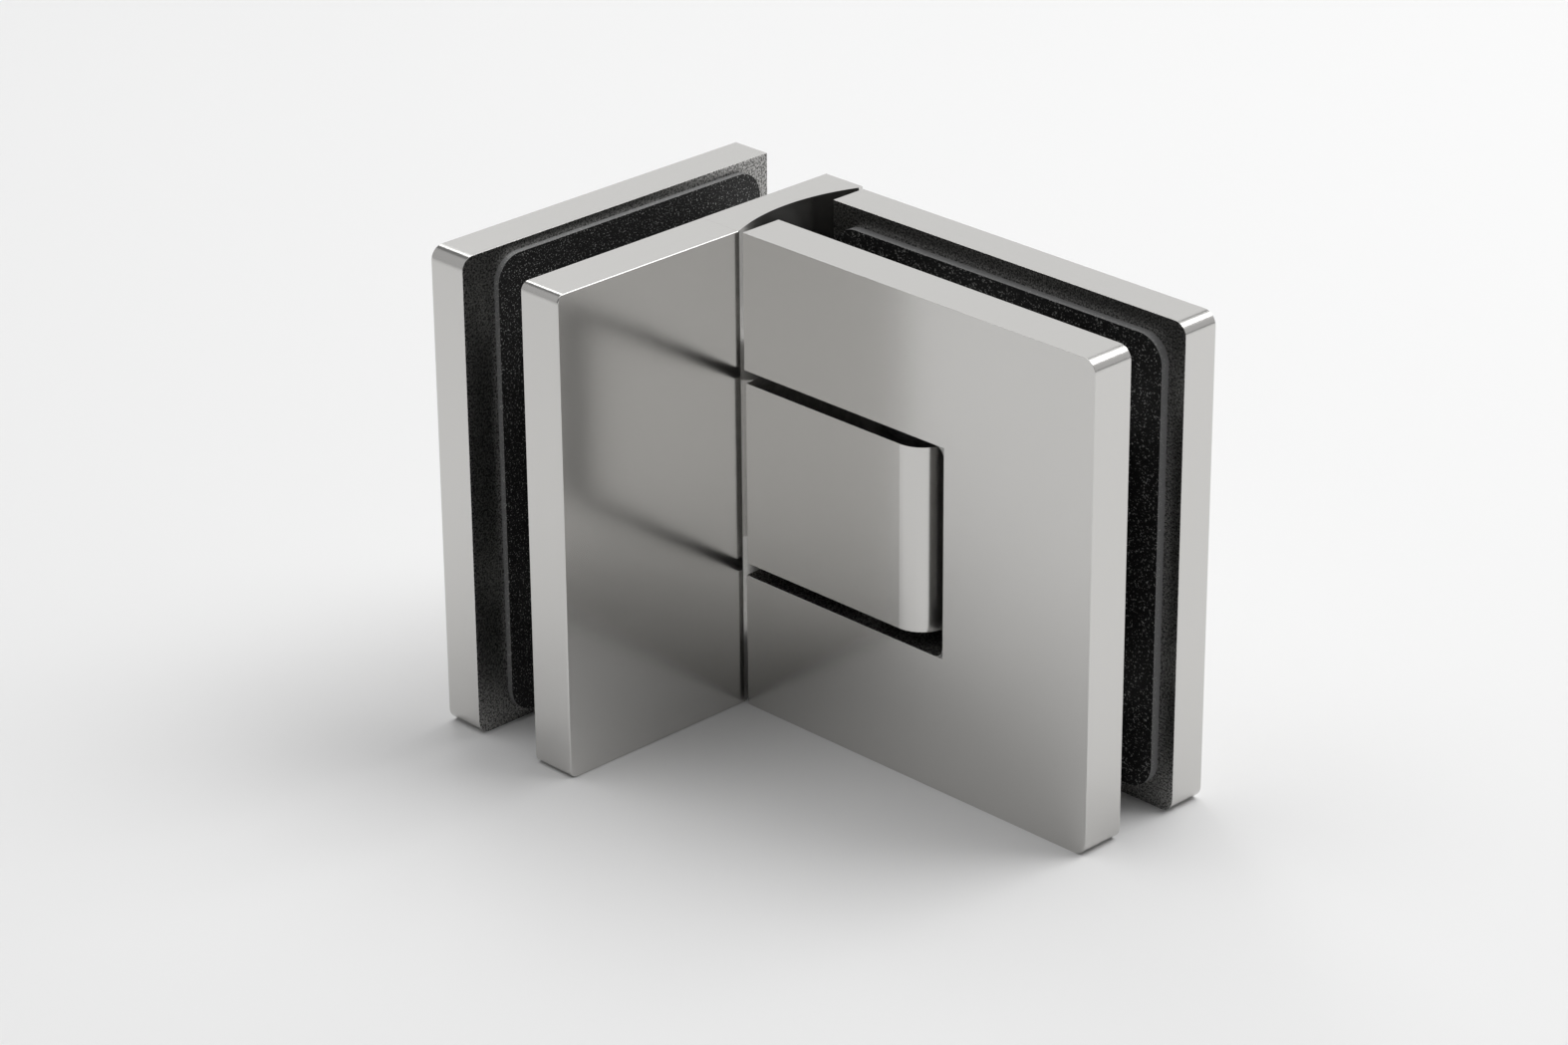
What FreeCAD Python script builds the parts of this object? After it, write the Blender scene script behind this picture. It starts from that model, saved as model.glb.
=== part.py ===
import FreeCAD, Part
import math
import os
import re

import Sketcher
from FreeCAD import Placement, Rotation, Vector

# Glass door hinge for a door that closes at a right angle to a fixed glass panel.
# Every piece is drawn about the hinge's inner corner, seen from above: the door leaf runs
# along +X, the fixed leaf along -Y, and the outside of both is behind them, at +Y and -X.
# The pieces stand on z = 0, and each one's Placement carries it to the part's own frame,
# whose origin is the middle of the hinge's base.

SIZES = {
    # Clamp plates
    "plate_height": 90.0,
    "corner_rounding": 2.5,
    "edge_break": 0.05,
    # Fixed leaf: two plates either side of the panel's glass
    "fixed_inner_thickness": 9.0,
    "fixed_outer_thickness": 8.0,
    "fixed_slot_width": 14.9,
    "fixed_leaf_reach": 41.7,
    "fixed_inner_rounding": 1.6,
    "fixed_inner_break": 0.2,
    "column_lip": 0.8,
    # Door leaf: two notched plates either side of the door's glass
    "door_inner_thickness": 8.6,
    "door_outer_thickness": 7.4,
    "door_slot_width": 13.3,
    "door_leaf_reach": 81.0,
    "leaf_gap": 1.0,
    # Pivot: the axis stands this far from the fixed leaf's inner face
    "pivot_offset": 32.4,
    "sweep_clearance": 0.87,
    "notch_height": 39.1,
    "notch_rounding": 2.0,
    # Pivot block in the notch, and its tongue in the column
    "block_gap": 2.35,
    "block_nose": 11.7,
    "block_rounding": 5.7,
    "nose_clearance": 4.6,
    "block_groove": 1.4,
    "tongue_width": 18.0,
    "tongue_height": 30.0,
    "tongue_depth": 5.4,
    "tongue_ease": 0.1,
    # Pivot pin, its bushes and thrust washers
    "pin_to_plate": 0.05,
    "pin_grip": 12.0,
    "pin_chamfer": 0.6,
    "running_clearance": 0.05,
    "bush_wall": 1.5,
    "bush_spacing": 10.4,
    "washer_radius": 9.0,
    "thrust_clearance": 0.1,
    # Detent: four flats on the pin and a sprung plunger in the block
    "flat_depth": 0.5,
    "flat_length": 9.4,
    "plunger_radius": 3.95,
    "plunger_length": 13.0,
    "plunger_rounding": 0.6,
    "cup_radius": 3.5,
    "cup_depth": 5.0,
    "spring_radius": 2.8,
    "spring_wire": 0.5,
    "spring_turns": 8.0,
    "preload_radius": 5.0,
    "preload_length": 7.0,
    "preload_socket": 2.9,
    "access_radius": 3.2,
    # Saddles that grip the pin's ends between the door plates
    "saddle_height": 15.0,
    "saddle_half_length": 14.0,
    "lock_flat_depth": 0.8,
    "lock_screw_height": 4.5,
    "lock_screw_recess": 0.8,
    "saddle_screw_height": 10.5,
    "saddle_screw_offset": 10.0,
    # Rubber layers on the plates' glass faces
    "gasket_rounding": 5.0,
    "gasket_land": 1.0,
    "fixed_gasket_thickness": 1.2,
    "fixed_gasket_near": 6.9,
    "fixed_gasket_far": 3.0,
    "fixed_gasket_margin": 1.7,
    "door_gasket_thickness": 1.75,
    "door_gasket_near": 3.5,
    "door_gasket_far": 2.0,
    "door_gasket_margin": 3.3,
    "mechanism_margin": 2.0,
    "saddle_margin": 0.5,
    # Countersunk clamp screws, one size for the glass and a smaller one for the mechanism
    "clamp_radius": 3.0,
    "clamp_head_radius": 6.0,
    "clamp_socket": 2.3,
    "small_radius": 2.5,
    "small_head_radius": 4.8,
    "small_socket": 1.75,
    "socket_depth": 2.2,
    "thread_engagement": 4.8,
    "tap_runout": 0.4,
    "thread_ease": 0.05,
    "screw_clearance": 0.25,
    "sleeve_radius": 5.0,
    "fixed_screw_setback": 20.0,
    "fixed_screw_pitch": 50.0,
    "column_screw_setback": 22.0,
    "column_screw_pitch": 64.0,
    "door_screw_reach": 65.4,
    "door_screw_pitch": 50.0,
    "block_screw_pitch": 21.0,
    "block_screw_length": 20.0,
}

# Places worked out from the sizes: x and y from the inner corner, z from the base
MIDDLE = "(plate_height / 2)"
FIXED_THICKNESS = "(fixed_inner_thickness + fixed_slot_width + fixed_outer_thickness)"
DOOR_THICKNESS = "(door_inner_thickness + door_slot_width + door_outer_thickness)"
COLUMN_DEPTH = f"({DOOR_THICKNESS} + column_lip)"
FRAME_X = f"(({FIXED_THICKNESS} - leaf_gap - door_leaf_reach) / 2)"
FRAME_Y = f"((fixed_leaf_reach - {COLUMN_DEPTH}) / 2)"

FIXED_BACK = f"(0 - {FIXED_THICKNESS})"
FIXED_SLOT_FAR = "(0 - fixed_inner_thickness - fixed_slot_width)"
FIXED_SLOT_NEAR = "(0 - fixed_inner_thickness)"
FIXED_END = "(0 - fixed_leaf_reach)"
DOOR_END = "(leaf_gap + door_leaf_reach)"
DOOR_SLOT_FAR = "(door_inner_thickness + door_slot_width)"

PIVOT_Y = f"({DOOR_THICKNESS} / 2)"
SWEEP_RADIUS = f"(sqrt((pivot_offset - leaf_gap) ^ 2 + {PIVOT_Y} ^ 2) + sweep_clearance)"
NOTCH_TOP = f"({MIDDLE} + notch_height / 2)"
NOTCH_BOTTOM = f"({MIDDLE} - notch_height / 2)"
BLOCK_TOP = f"({NOTCH_TOP} - block_gap)"
BLOCK_BOTTOM = f"({NOTCH_BOTTOM} + block_gap)"
BLOCK_NOSE = "(pivot_offset + block_nose)"
NOTCH_WALL = f"({BLOCK_NOSE} + nose_clearance)"
TONGUE_END = "(0 - tongue_depth)"
PIN_RADIUS = f"({PIVOT_Y} - door_inner_thickness - pin_to_plate)"
BEARING_RADIUS = f"({PIN_RADIUS} + running_clearance)"
BUSH_RADIUS = f"({BEARING_RADIUS} + bush_wall)"
BUSH_LENGTH = f"(({BLOCK_TOP} - {BLOCK_BOTTOM} - bush_spacing) / 2)"

# The plunger stands drawn back, just clear of the pin's round part
PLUNGER_NOSE = f"(pivot_offset - {BEARING_RADIUS})"
PLUNGER_TAIL = f"({PLUNGER_NOSE} - plunger_length)"
PRELOAD_FRONT = f"({TONGUE_END} + preload_length)"
SPRING_LENGTH = f"({PLUNGER_TAIL} + cup_depth - {PRELOAD_FRONT})"

SADDLE_TOP = f"({NOTCH_TOP} + saddle_height)"
SADDLE_BOTTOM = f"({NOTCH_BOTTOM} - saddle_height)"
LOCK_TIP = f"(pivot_offset + {PIN_RADIUS} - lock_flat_depth)"
LOCK_END = "(pivot_offset + saddle_half_length - lock_screw_recess)"

# Where the screws cross the plates: (along the leaf, height)
FIXED_SCREWS = [
    ("(0 - fixed_screw_setback)", f"({MIDDLE} {side} fixed_screw_pitch / 2)") for side in "+-"
]
COLUMN_SCREWS = [
    ("column_screw_setback", f"({MIDDLE} {side} column_screw_pitch / 2)") for side in "+-"
]
DOOR_SCREWS = [
    ("(leaf_gap + door_screw_reach)", f"({MIDDLE} {side} door_screw_pitch / 2)") for side in "+-"
]
BLOCK_SCREWS = [(PIVOT_Y, f"({MIDDLE} {side} block_screw_pitch / 2)") for side in "+-"]
SADDLE_SCREWS = [
    (f"(pivot_offset {side} saddle_screw_offset)", height)
    for height in (f"({NOTCH_TOP} + saddle_screw_height)", f"({NOTCH_BOTTOM} - saddle_screw_height)")
    for side in "+-"
]
LOCK_SCREWS = [
    (PIVOT_Y, f"({NOTCH_TOP} + lock_screw_height)"),
    (PIVOT_Y, f"({NOTCH_BOTTOM} - lock_screw_height)"),
]

doc = FreeCAD.newDocument("glass_door_hinge")
sheet = doc.addObject("Spreadsheet::Sheet", "Sizes")
nodes = []


def fill_sheet():
    """Gives each driving dimension a row of the sheet, with its name as the cell's alias."""
    for row, (alias, size) in enumerate(SIZES.items(), 1):
        sheet.set(f"A{row}", alias)
        sheet.set(f"B{row}", str(size))
        sheet.setAlias(f"B{row}", alias)
    doc.recompute()


def bound(expression):
    """Puts the sheet's name before each size that an expression names."""
    return re.sub(r"[a-z]\w+", lambda word: ("Sizes." if word[0] in SIZES else "") + word[0], expression)


def value(expression):
    """The number that an expression stands for."""
    return float(sheet.evalExpression(bound(expression)))


def bind(item, **sizes):
    """Sets properties of an object from expressions."""
    for name, expression in sizes.items():
        item.setExpression(name, bound(expression))


def place(item, x="0", y="0", z="0", turn=None):
    """Puts an object at a place given from the inner corner, turned about that place."""
    if turn is not None:
        item.Placement = Placement(Vector(), turn)
    item.setExpression("Placement.Base.x", bound(f"{x} + {FRAME_X}"))
    item.setExpression("Placement.Base.y", bound(f"{y} + {FRAME_Y}"))
    item.setExpression("Placement.Base.z", bound(z))


def node(item, name):
    """Names a finished piece and keeps it for export."""
    item.Label = name
    nodes.append(item)
    return item


def new_body(name, x="0", y="0", z="0", turn=None):
    body = doc.addObject("PartDesign::Body", name)
    place(body, x, y, z, turn)
    return node(body, name)


def new_sketch(body, name, plane, level="0"):
    """A sketch on one of the body's own planes; level is its x, y or z, whichever the plane fixes."""
    sketch = body.newObject("Sketcher::SketchObject", name)
    origin = [face for face in body.Origin.OriginFeatures if face.Role == plane]
    sketch.AttachmentSupport = [(origin[0], "")]
    sketch.MapMode = "FlatFace"
    offset = f"0 - ({level})" if plane == "XZ_Plane" else level
    sketch.setExpression("AttachmentOffset.Base.z", bound(offset))
    return sketch


def hold(sketch, kind, line, point, place_value, expression):
    """Fixes a point's distance from the sketch's origin, as an expression."""
    if expression == "0":
        axis = -2 if kind == "DistanceX" else -1
        sketch.addConstraint(Sketcher.Constraint("PointOnObject", line, point, axis))
        return
    index = sketch.addConstraint(Sketcher.Constraint(kind, -1, 1, line, point, place_value))
    sketch.setExpression(f"Constraints[{index}]", bound(expression))


def outline(sketch, sides, rounded=None):
    """Closes an outline of upright and level sides, given in turn by their places.

    The first side is upright, and the outline runs anticlockwise. Corner k joins side k to the
    next one, and rounded gives the radius of those corners that are arcs.
    """
    rounded = rounded or {}
    count = len(sides)
    places = [value(side) for side in sides]
    radii = {corner: value(radius) for corner, radius in rounded.items()}
    corners = []
    for k in range(count):
        pair = (places[k], places[(k + 1) % count])
        corners.append(Vector(*pair, 0) if k % 2 == 0 else Vector(pair[1], pair[0], 0))
    ways = [(corners[k] - corners[k - 1]).normalize() for k in range(count)]

    lines = []
    for k in range(count):
        start = corners[k - 1] + ways[k] * radii.get((k - 1) % count, 0)
        end = corners[k] - ways[k] * radii.get(k, 0)
        line = sketch.addGeometry(Part.LineSegment(start, end))
        upright = k % 2 == 0
        sketch.addConstraint(Sketcher.Constraint("Vertical" if upright else "Horizontal", line))
        hold(sketch, "DistanceX" if upright else "DistanceY", line, 1, places[k], sides[k])
        lines.append(line)

    for k in range(count):
        following = (k + 1) % count
        if k not in rounded:
            sketch.addConstraint(Sketcher.Constraint("Coincident", lines[k], 2, lines[following], 1))
            continue
        radius = radii[k]
        before = corners[k] - ways[k] * radius
        after = corners[k] + ways[following] * radius
        centre = before + ways[following] * radius
        inward = ways[k].cross(ways[following]).z > 0
        first, last = (before, after) if inward else (after, before)
        angles = [math.atan2(end.y - centre.y, end.x - centre.x) for end in (first, last)]
        circle = Part.Circle(centre, Vector(0, 0, 1), radius)
        arc = sketch.addGeometry(Part.ArcOfCircle(circle, *angles))
        enters, leaves = (1, 2) if inward else (2, 1)
        sketch.addConstraint(Sketcher.Constraint("Tangent", lines[k], 2, arc, enters))
        sketch.addConstraint(Sketcher.Constraint("Tangent", arc, leaves, lines[following], 1))
        index = sketch.addConstraint(Sketcher.Constraint("Radius", arc, radius))
        sketch.setExpression(f"Constraints[{index}]", bound(rounded[k]))


def circles(sketch, centres, radius):
    """Draws equal circles about centres given as pairs of expressions."""
    for across, up in centres:
        middle = Vector(value(across), value(up), 0)
        circle = sketch.addGeometry(Part.Circle(middle, Vector(0, 0, 1), value(radius)))
        hold(sketch, "DistanceX", circle, 3, middle.x, across)
        hold(sketch, "DistanceY", circle, 3, middle.y, up)
        index = sketch.addConstraint(Sketcher.Constraint("Radius", circle, value(radius)))
        sketch.setExpression(f"Constraints[{index}]", bound(radius))


def pad(body, sketch, length, back=False):
    """Grows material from a sketch, along its plane's normal unless back is set."""
    feature = body.newObject("PartDesign::Pad", sketch.Name + "_pad")
    feature.Profile = sketch
    feature.Reversed = back
    bind(feature, Length=length)
    doc.recompute()
    return feature


def cut(body, sketch, depth=None, back=False):
    """Cuts from a sketch along its plane's normal, or the other way if back is set."""
    before = body.Shape.Volume
    feature = body.newObject("PartDesign::Pocket", sketch.Name + "_pocket")
    feature.Profile = sketch
    feature.Reversed = not back
    if depth is None:
        feature.Type = "ThroughAll"
    else:
        bind(feature, Length=depth)
    doc.recompute()
    if body.Shape.Volume > before - 1e-6:
        raise RuntimeError(f"{feature.Name} cuts nothing")
    return feature


def drill(body, name, plane, level, centres, radius, depth=None, back=False):
    """Plain round holes from a level of one of the body's planes."""
    sketch = new_sketch(body, name, plane, level)
    circles(sketch, centres, radius)
    return cut(body, sketch, depth, back)


def countersink(body, name, plane, level, centres, radius, head_radius):
    """Through holes with room for a screw's shank, and a right-angled cone for its head."""
    before = body.Shape.Volume
    sketch = new_sketch(body, name, plane, level)
    circles(sketch, centres, radius)
    doc.recompute()
    hole = body.newObject("PartDesign::Hole", name + "_hole")
    hole.Profile = sketch
    doc.recompute()
    hole.ThreadType = "None"
    hole.DepthType = "ThroughAll"
    hole.Reversed = True
    hole.HoleCutType = "Countersink"
    hole.HoleCutCountersinkAngle = 90
    bind(
        hole,
        Diameter=f"2 * ({radius} + screw_clearance)",
        HoleCutDiameter=f"2 * {head_radius}",
    )
    doc.recompute()
    if body.Shape.Volume > before - 1e-6:
        raise RuntimeError(f"{hole.Name} cuts nothing")
    return hole


def edges_between(shape, low, high):
    """Names of the edges that lie inside a box given by its lowest and highest corners."""
    room = 1e-4
    names = []
    for index, edge in enumerate(shape.Edges, 1):
        box = edge.BoundBox
        lowest = (box.XMin, box.YMin, box.ZMin)
        highest = (box.XMax, box.YMax, box.ZMax)
        if all(a >= b - room for a, b in zip(lowest, low)) and all(
            a <= b + room for a, b in zip(highest, high)
        ):
            names.append(f"Edge{index}")
    return names


def dress_edges(body, name, sizes, boxes, sharp=()):
    """Rounds or chamfers the edges of the body's last feature that lie in the boxes.

    Each box is six expressions, and sizes names the one dimension that the feature takes.
    Edges that also lie in one of the sharp boxes are left as they are.
    """
    base = body.Tip

    def names(group):
        found = set()
        for box in group:
            numbers = [value(side) for side in box]
            found.update(edges_between(base.Shape, numbers[:3], numbers[3:]))
        return found

    kind = "Fillet" if "Radius" in sizes else "Chamfer"
    feature = body.newObject(f"PartDesign::{kind}", name)
    feature.Base = (base, sorted(names(boxes) - names(sharp)))
    bind(feature, **sizes)
    doc.recompute()


def cylinder(name, radius, height):
    item = doc.addObject("Part::Cylinder", name)
    bind(item, Radius=radius, Height=height)
    return item


def less(name, base, tool):
    """One solid with another taken out of it."""
    item = doc.addObject("Part::Cut", name)
    item.Base = base
    item.Tool = tool
    return item


def tube(name, radius, bore, height):
    return less(name, cylinder(name + "_wall", radius, height), cylinder(name + "_bore", bore, height))


def prism(name, radius, height):
    item = doc.addObject("Part::Prism", name)
    item.Polygon = 6
    bind(item, Circumradius=radius, Height=height)
    return item


def countersunk_screw(name, radius, head_radius, length, socket):
    """A countersunk screw with a hexagon socket, its head's face on z = 0 and its tip below."""
    shank = cylinder(name + "_shank", f"{radius} - thread_ease", length)
    bind(shank, **{"Placement.Base.z": f"0 - ({length})"})
    head = doc.addObject("Part::Cone", name + "_head")
    head_height = f"{head_radius} - {radius} + thread_ease"
    bind(head, Radius1=f"{radius} - thread_ease", Radius2=head_radius, Height=head_height)
    bind(head, **{"Placement.Base.z": f"0 - ({head_height})"})
    whole = doc.addObject("Part::MultiFuse", name + "_blank")
    whole.Shapes = [shank, head]
    recess = prism(name + "_socket", socket, "socket_depth")
    bind(recess, **{"Placement.Base.z": "0 - socket_depth"})
    return less(name, whole, recess)


def group(name, members):
    """Like pieces that share one node as separate solids."""
    item = doc.addObject("Part::Compound", name)
    item.Links = members
    return node(item, name)


FACING_BACK = Rotation(Vector(0, 1, 0), -90)  # local +Z looks along -X
FACING_SIDE = Rotation(Vector(0, 1, 0), 90)  # local +Z looks along +X
FACING_OUT = Rotation(Vector(1, 0, 0), -90)  # local +Z looks along +Y


def face_edges(low, high, axis):
    """The two thin boxes that hold the outline edges of a plate's faces, across an axis."""
    near, far = list(high), list(low)
    near[axis] = low[axis]
    far[axis] = high[axis]
    return [(*low, *near), (*far, *high)]


def fixed_inner_plate():
    """The fixed leaf's plate on the inside of the glass, square at the seam with the column."""
    body = new_body("fixed_inner_plate")
    sketch = new_sketch(body, "fixed_inner_outline", "YZ_Plane", FIXED_SLOT_NEAR)
    rounded = {1: "fixed_inner_rounding", 2: "fixed_inner_rounding"}
    outline(sketch, ["0", "plate_height", FIXED_END, "0"], rounded)
    pad(body, sketch, "fixed_inner_thickness")
    low = (FIXED_SLOT_NEAR, FIXED_END, "0")
    high = ("0", "0", "plate_height")
    seam = (FIXED_SLOT_NEAR, "0", "0", *high)
    glass_side, inner_side = face_edges(low, high, 0)
    dress_edges(body, "fixed_inner_front", {"Radius": "fixed_inner_break"}, [inner_side], [seam])
    dress_edges(body, "fixed_inner_edges", {"Radius": "edge_break"}, [glass_side, seam])
    drill(
        body, "fixed_inner_taps", "YZ_Plane", FIXED_SLOT_NEAR, FIXED_SCREWS,
        "clamp_radius", "thread_engagement + tap_runout",
    )


def fixed_outer_plate():
    """The fixed leaf's plate on the outside of the glass, as deep as the leaf and the column."""
    body = new_body("fixed_outer_plate")
    sketch = new_sketch(body, "fixed_outer_outline", "YZ_Plane", FIXED_BACK)
    rounded = {1: "corner_rounding", 2: "corner_rounding"}
    outline(sketch, [COLUMN_DEPTH, "plate_height", FIXED_END, "0"], rounded)
    pad(body, sketch, "fixed_outer_thickness")
    low = (FIXED_BACK, FIXED_END, "0")
    high = (FIXED_SLOT_FAR, COLUMN_DEPTH, "plate_height")
    dress_edges(body, "fixed_outer_edges", {"Radius": "edge_break"}, face_edges(low, high, 0))
    countersink(
        body, "fixed_outer_holes", "YZ_Plane", FIXED_BACK, FIXED_SCREWS + COLUMN_SCREWS,
        "clamp_radius", "clamp_head_radius",
    )


def hinge_column():
    """The post behind the seam, hollowed so that the door leaf's edge swings past it."""
    body = new_body("hinge_column")
    sketch = new_sketch(body, "column_outline", "XY_Plane")
    outline(sketch, ["0", COLUMN_DEPTH, FIXED_SLOT_NEAR, "0"])
    pad(body, sketch, "plate_height")
    drill(
        body, "column_sweep", "XY_Plane", "0", [("pivot_offset", PIVOT_Y)],
        SWEEP_RADIUS, "plate_height",
    )
    # Pocket for the block's tongue, open to the hollow side
    half_width = "(tongue_width / 2 + tongue_ease)"
    half_height = "(tongue_height / 2 + tongue_ease)"
    pocket = new_sketch(body, "tongue_pocket", "YZ_Plane", TONGUE_END)
    outline(
        pocket,
        [
            f"{PIVOT_Y} + {half_width}", f"{MIDDLE} + {half_height}",
            f"{PIVOT_Y} - {half_width}", f"{MIDDLE} - {half_height}",
        ],
    )
    cut(body, pocket, "tongue_depth")
    drill(
        body, "column_taps", "YZ_Plane", FIXED_SLOT_NEAR, COLUMN_SCREWS,
        "clamp_radius", "thread_engagement + tap_runout",
    )
    drill(
        body, "preload_access", "YZ_Plane", FIXED_SLOT_NEAR, [(PIVOT_Y, MIDDLE)],
        "access_radius", "fixed_inner_thickness",
    )
    countersink(
        body, "column_holes", "YZ_Plane", FIXED_SLOT_NEAR, BLOCK_SCREWS,
        "small_radius", "small_head_radius",
    )


def pivot_block():
    """The knuckle in the door leaf's notch, flush with both of its faces and round at the nose."""
    body = new_body("pivot_block")
    sketch = new_sketch(body, "block_outline", "XY_Plane", BLOCK_BOTTOM)
    rounded = {0: "block_rounding", 3: "block_rounding"}
    outline(sketch, [BLOCK_NOSE, DOOR_THICKNESS, "block_groove", "0"], rounded)
    pad(body, sketch, f"{BLOCK_TOP} - {BLOCK_BOTTOM}")
    tongue = new_sketch(body, "block_tongue", "YZ_Plane", TONGUE_END)
    outline(
        tongue,
        [
            f"{PIVOT_Y} + tongue_width / 2", f"{MIDDLE} + tongue_height / 2",
            f"{PIVOT_Y} - tongue_width / 2", f"{MIDDLE} - tongue_height / 2",
        ],
    )
    pad(body, tongue, "tongue_depth + block_groove")
    drill(
        body, "block_bore", "XY_Plane", BLOCK_BOTTOM, [("pivot_offset", PIVOT_Y)],
        BUSH_RADIUS, f"{BLOCK_TOP} - {BLOCK_BOTTOM}",
    )
    drill(
        body, "detent_bore", "YZ_Plane", TONGUE_END, [(PIVOT_Y, MIDDLE)],
        "plunger_radius + running_clearance", "tongue_depth + pivot_offset",
    )
    drill(
        body, "preload_tap", "YZ_Plane", TONGUE_END, [(PIVOT_Y, MIDDLE)],
        "preload_radius", "preload_length + tap_runout",
    )
    drill(
        body, "block_taps", "YZ_Plane", TONGUE_END, BLOCK_SCREWS, "small_radius",
        "block_screw_length - fixed_inner_thickness + tongue_depth + tap_runout",
    )


def bushes():
    """Two bushes flush with the block's ends, with the pin running in them."""
    for name, foot in (("upper_bush", f"{BLOCK_TOP} - {BUSH_LENGTH}"), ("lower_bush", BLOCK_BOTTOM)):
        bush = tube(name, BUSH_RADIUS, BEARING_RADIUS, BUSH_LENGTH)
        place(bush, "pivot_offset", PIVOT_Y, foot)
        node(bush, name)


def thrust_washers():
    """Washers that ride on the saddles and carry the door leaf on the block's ends."""
    places = (
        ("upper_thrust_washer", f"{BLOCK_TOP} + thrust_clearance"),
        ("lower_thrust_washer", NOTCH_BOTTOM),
    )
    for name, foot in places:
        washer = tube(name, "washer_radius", BEARING_RADIUS, "block_gap - thrust_clearance")
        place(washer, "pivot_offset", PIVOT_Y, foot)
        node(washer, name)


def pivot_pin():
    """The pin, round in its bushes, four-sided at the plunger and flat where it is locked."""
    body = new_body("pivot_pin", "pivot_offset", PIVOT_Y)
    foot = f"({NOTCH_BOTTOM} - pin_grip)"
    head = f"({NOTCH_TOP} + pin_grip)"
    sketch = new_sketch(body, "pin_section", "XY_Plane", foot)
    circles(sketch, [("0", "0")], PIN_RADIUS)
    pad(body, sketch, f"{head} - {foot}")
    rims = [
        (f"0 - {PIN_RADIUS}", f"0 - {PIN_RADIUS}", level, PIN_RADIUS, PIN_RADIUS, level)
        for level in (foot, head)
    ]
    dress_edges(body, "pin_ends", {"Size": "pin_chamfer"}, rims)

    flats = new_sketch(body, "pin_flats", "XY_Plane", f"{MIDDLE} - flat_length / 2")
    circles(flats, [("0", "0")], f"2 * {PIN_RADIUS}")
    side = f"{PIN_RADIUS} - flat_depth"
    outline(flats, [side, side, f"0 - ({side})", f"0 - ({side})"])
    cut(body, flats, "flat_length")
    for name, level in (("upper_lock", NOTCH_TOP), ("lower_lock", foot)):
        lock = new_sketch(body, name, "XY_Plane", level)
        outline(
            lock,
            [
                f"{PIN_RADIUS} + flat_depth", PIN_RADIUS,
                f"{PIN_RADIUS} - lock_flat_depth", f"0 - {PIN_RADIUS}",
            ],
        )
        cut(body, lock, "pin_grip")


def detent_plunger():
    """A plunger with a flat nose towards the pin and a cup behind for its spring."""
    body = new_body("detent_plunger", PLUNGER_TAIL, PIVOT_Y, MIDDLE, FACING_SIDE)
    sketch = new_sketch(body, "plunger_section", "XY_Plane")
    circles(sketch, [("0", "0")], "plunger_radius")
    pad(body, sketch, "plunger_length")
    nose = (
        "0 - plunger_radius", "0 - plunger_radius", "plunger_length",
        "plunger_radius", "plunger_radius", "plunger_length",
    )
    dress_edges(body, "plunger_nose", {"Radius": "plunger_rounding"}, [nose])
    drill(body, "plunger_cup", "XY_Plane", "0", [("0", "0")], "cup_radius", "cup_depth")


def detent_spring():
    """A coil spring between the preload screw and the bottom of the plunger's cup."""
    body = new_body("detent_spring", PRELOAD_FRONT, PIVOT_Y, MIDDLE, FACING_SIDE)
    sketch = new_sketch(body, "spring_wire_section", "XZ_Plane")
    circles(sketch, [("spring_radius", "spring_wire")], "spring_wire")
    coil = body.newObject("PartDesign::AdditiveHelix", "spring_coil")
    coil.Profile = sketch
    axis = [line for line in body.Origin.OriginFeatures if line.Role == "Z_Axis"]
    coil.ReferenceAxis = (axis[0], [""])
    coil.Mode = "height-turns-angle"
    bind(coil, Height=f"{SPRING_LENGTH} - 2 * spring_wire", Turns="spring_turns")
    doc.recompute()


def preload_screw():
    """The socket screw behind the spring, reached through the column."""
    thread = cylinder("preload_thread", "preload_radius - thread_ease", "preload_length")
    recess = prism("preload_recess", "preload_socket", "socket_depth")
    bind(recess, **{"Placement.Base.z": "preload_length - socket_depth"})
    screw = less("preload_screw", thread, recess)
    place(screw, PRELOAD_FRONT, PIVOT_Y, MIDDLE, FACING_BACK)
    node(screw, "preload_screw")


def door_plate(name, face, thickness):
    """A door leaf plate with the notch that holds the pivot block, its front face at y = face."""
    body = new_body(name)
    sketch = new_sketch(body, name + "_outline", "XZ_Plane", face)
    sides = [
        DOOR_END, "plate_height", "leaf_gap", NOTCH_TOP, NOTCH_WALL, NOTCH_BOTTOM, "leaf_gap", "0",
    ]
    rounded = {0: "corner_rounding", 3: "notch_rounding", 4: "notch_rounding", 7: "corner_rounding"}
    outline(sketch, sides, rounded)
    pad(body, sketch, thickness, back=True)
    low = ("leaf_gap", face, "0")
    high = (DOOR_END, f"{face} + {thickness}", "plate_height")
    notch = ("leaf_gap", face, NOTCH_BOTTOM, NOTCH_WALL, f"{face} + {thickness}", NOTCH_TOP)
    dress_edges(body, name + "_edges", {"Radius": "edge_break"}, face_edges(low, high, 1), [notch])
    return body


def door_plates():
    """The door leaf's plates: screws enter the outer one and end blind in the inner one."""
    inner = door_plate("door_inner_plate", "0", "door_inner_thickness")
    depth = "thread_engagement + tap_runout"
    drill(
        inner, "door_taps", "XZ_Plane", "door_inner_thickness", DOOR_SCREWS, "clamp_radius", depth,
    )
    drill(
        inner, "saddle_taps", "XZ_Plane", "door_inner_thickness", SADDLE_SCREWS, "small_radius", depth,
    )
    outer = door_plate("door_outer_plate", DOOR_SLOT_FAR, "door_outer_thickness")
    countersink(
        outer, "door_holes", "XZ_Plane", DOOR_THICKNESS, DOOR_SCREWS,
        "clamp_radius", "clamp_head_radius",
    )
    countersink(
        outer, "saddle_holes", "XZ_Plane", DOOR_THICKNESS, SADDLE_SCREWS,
        "small_radius", "small_head_radius",
    )


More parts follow.
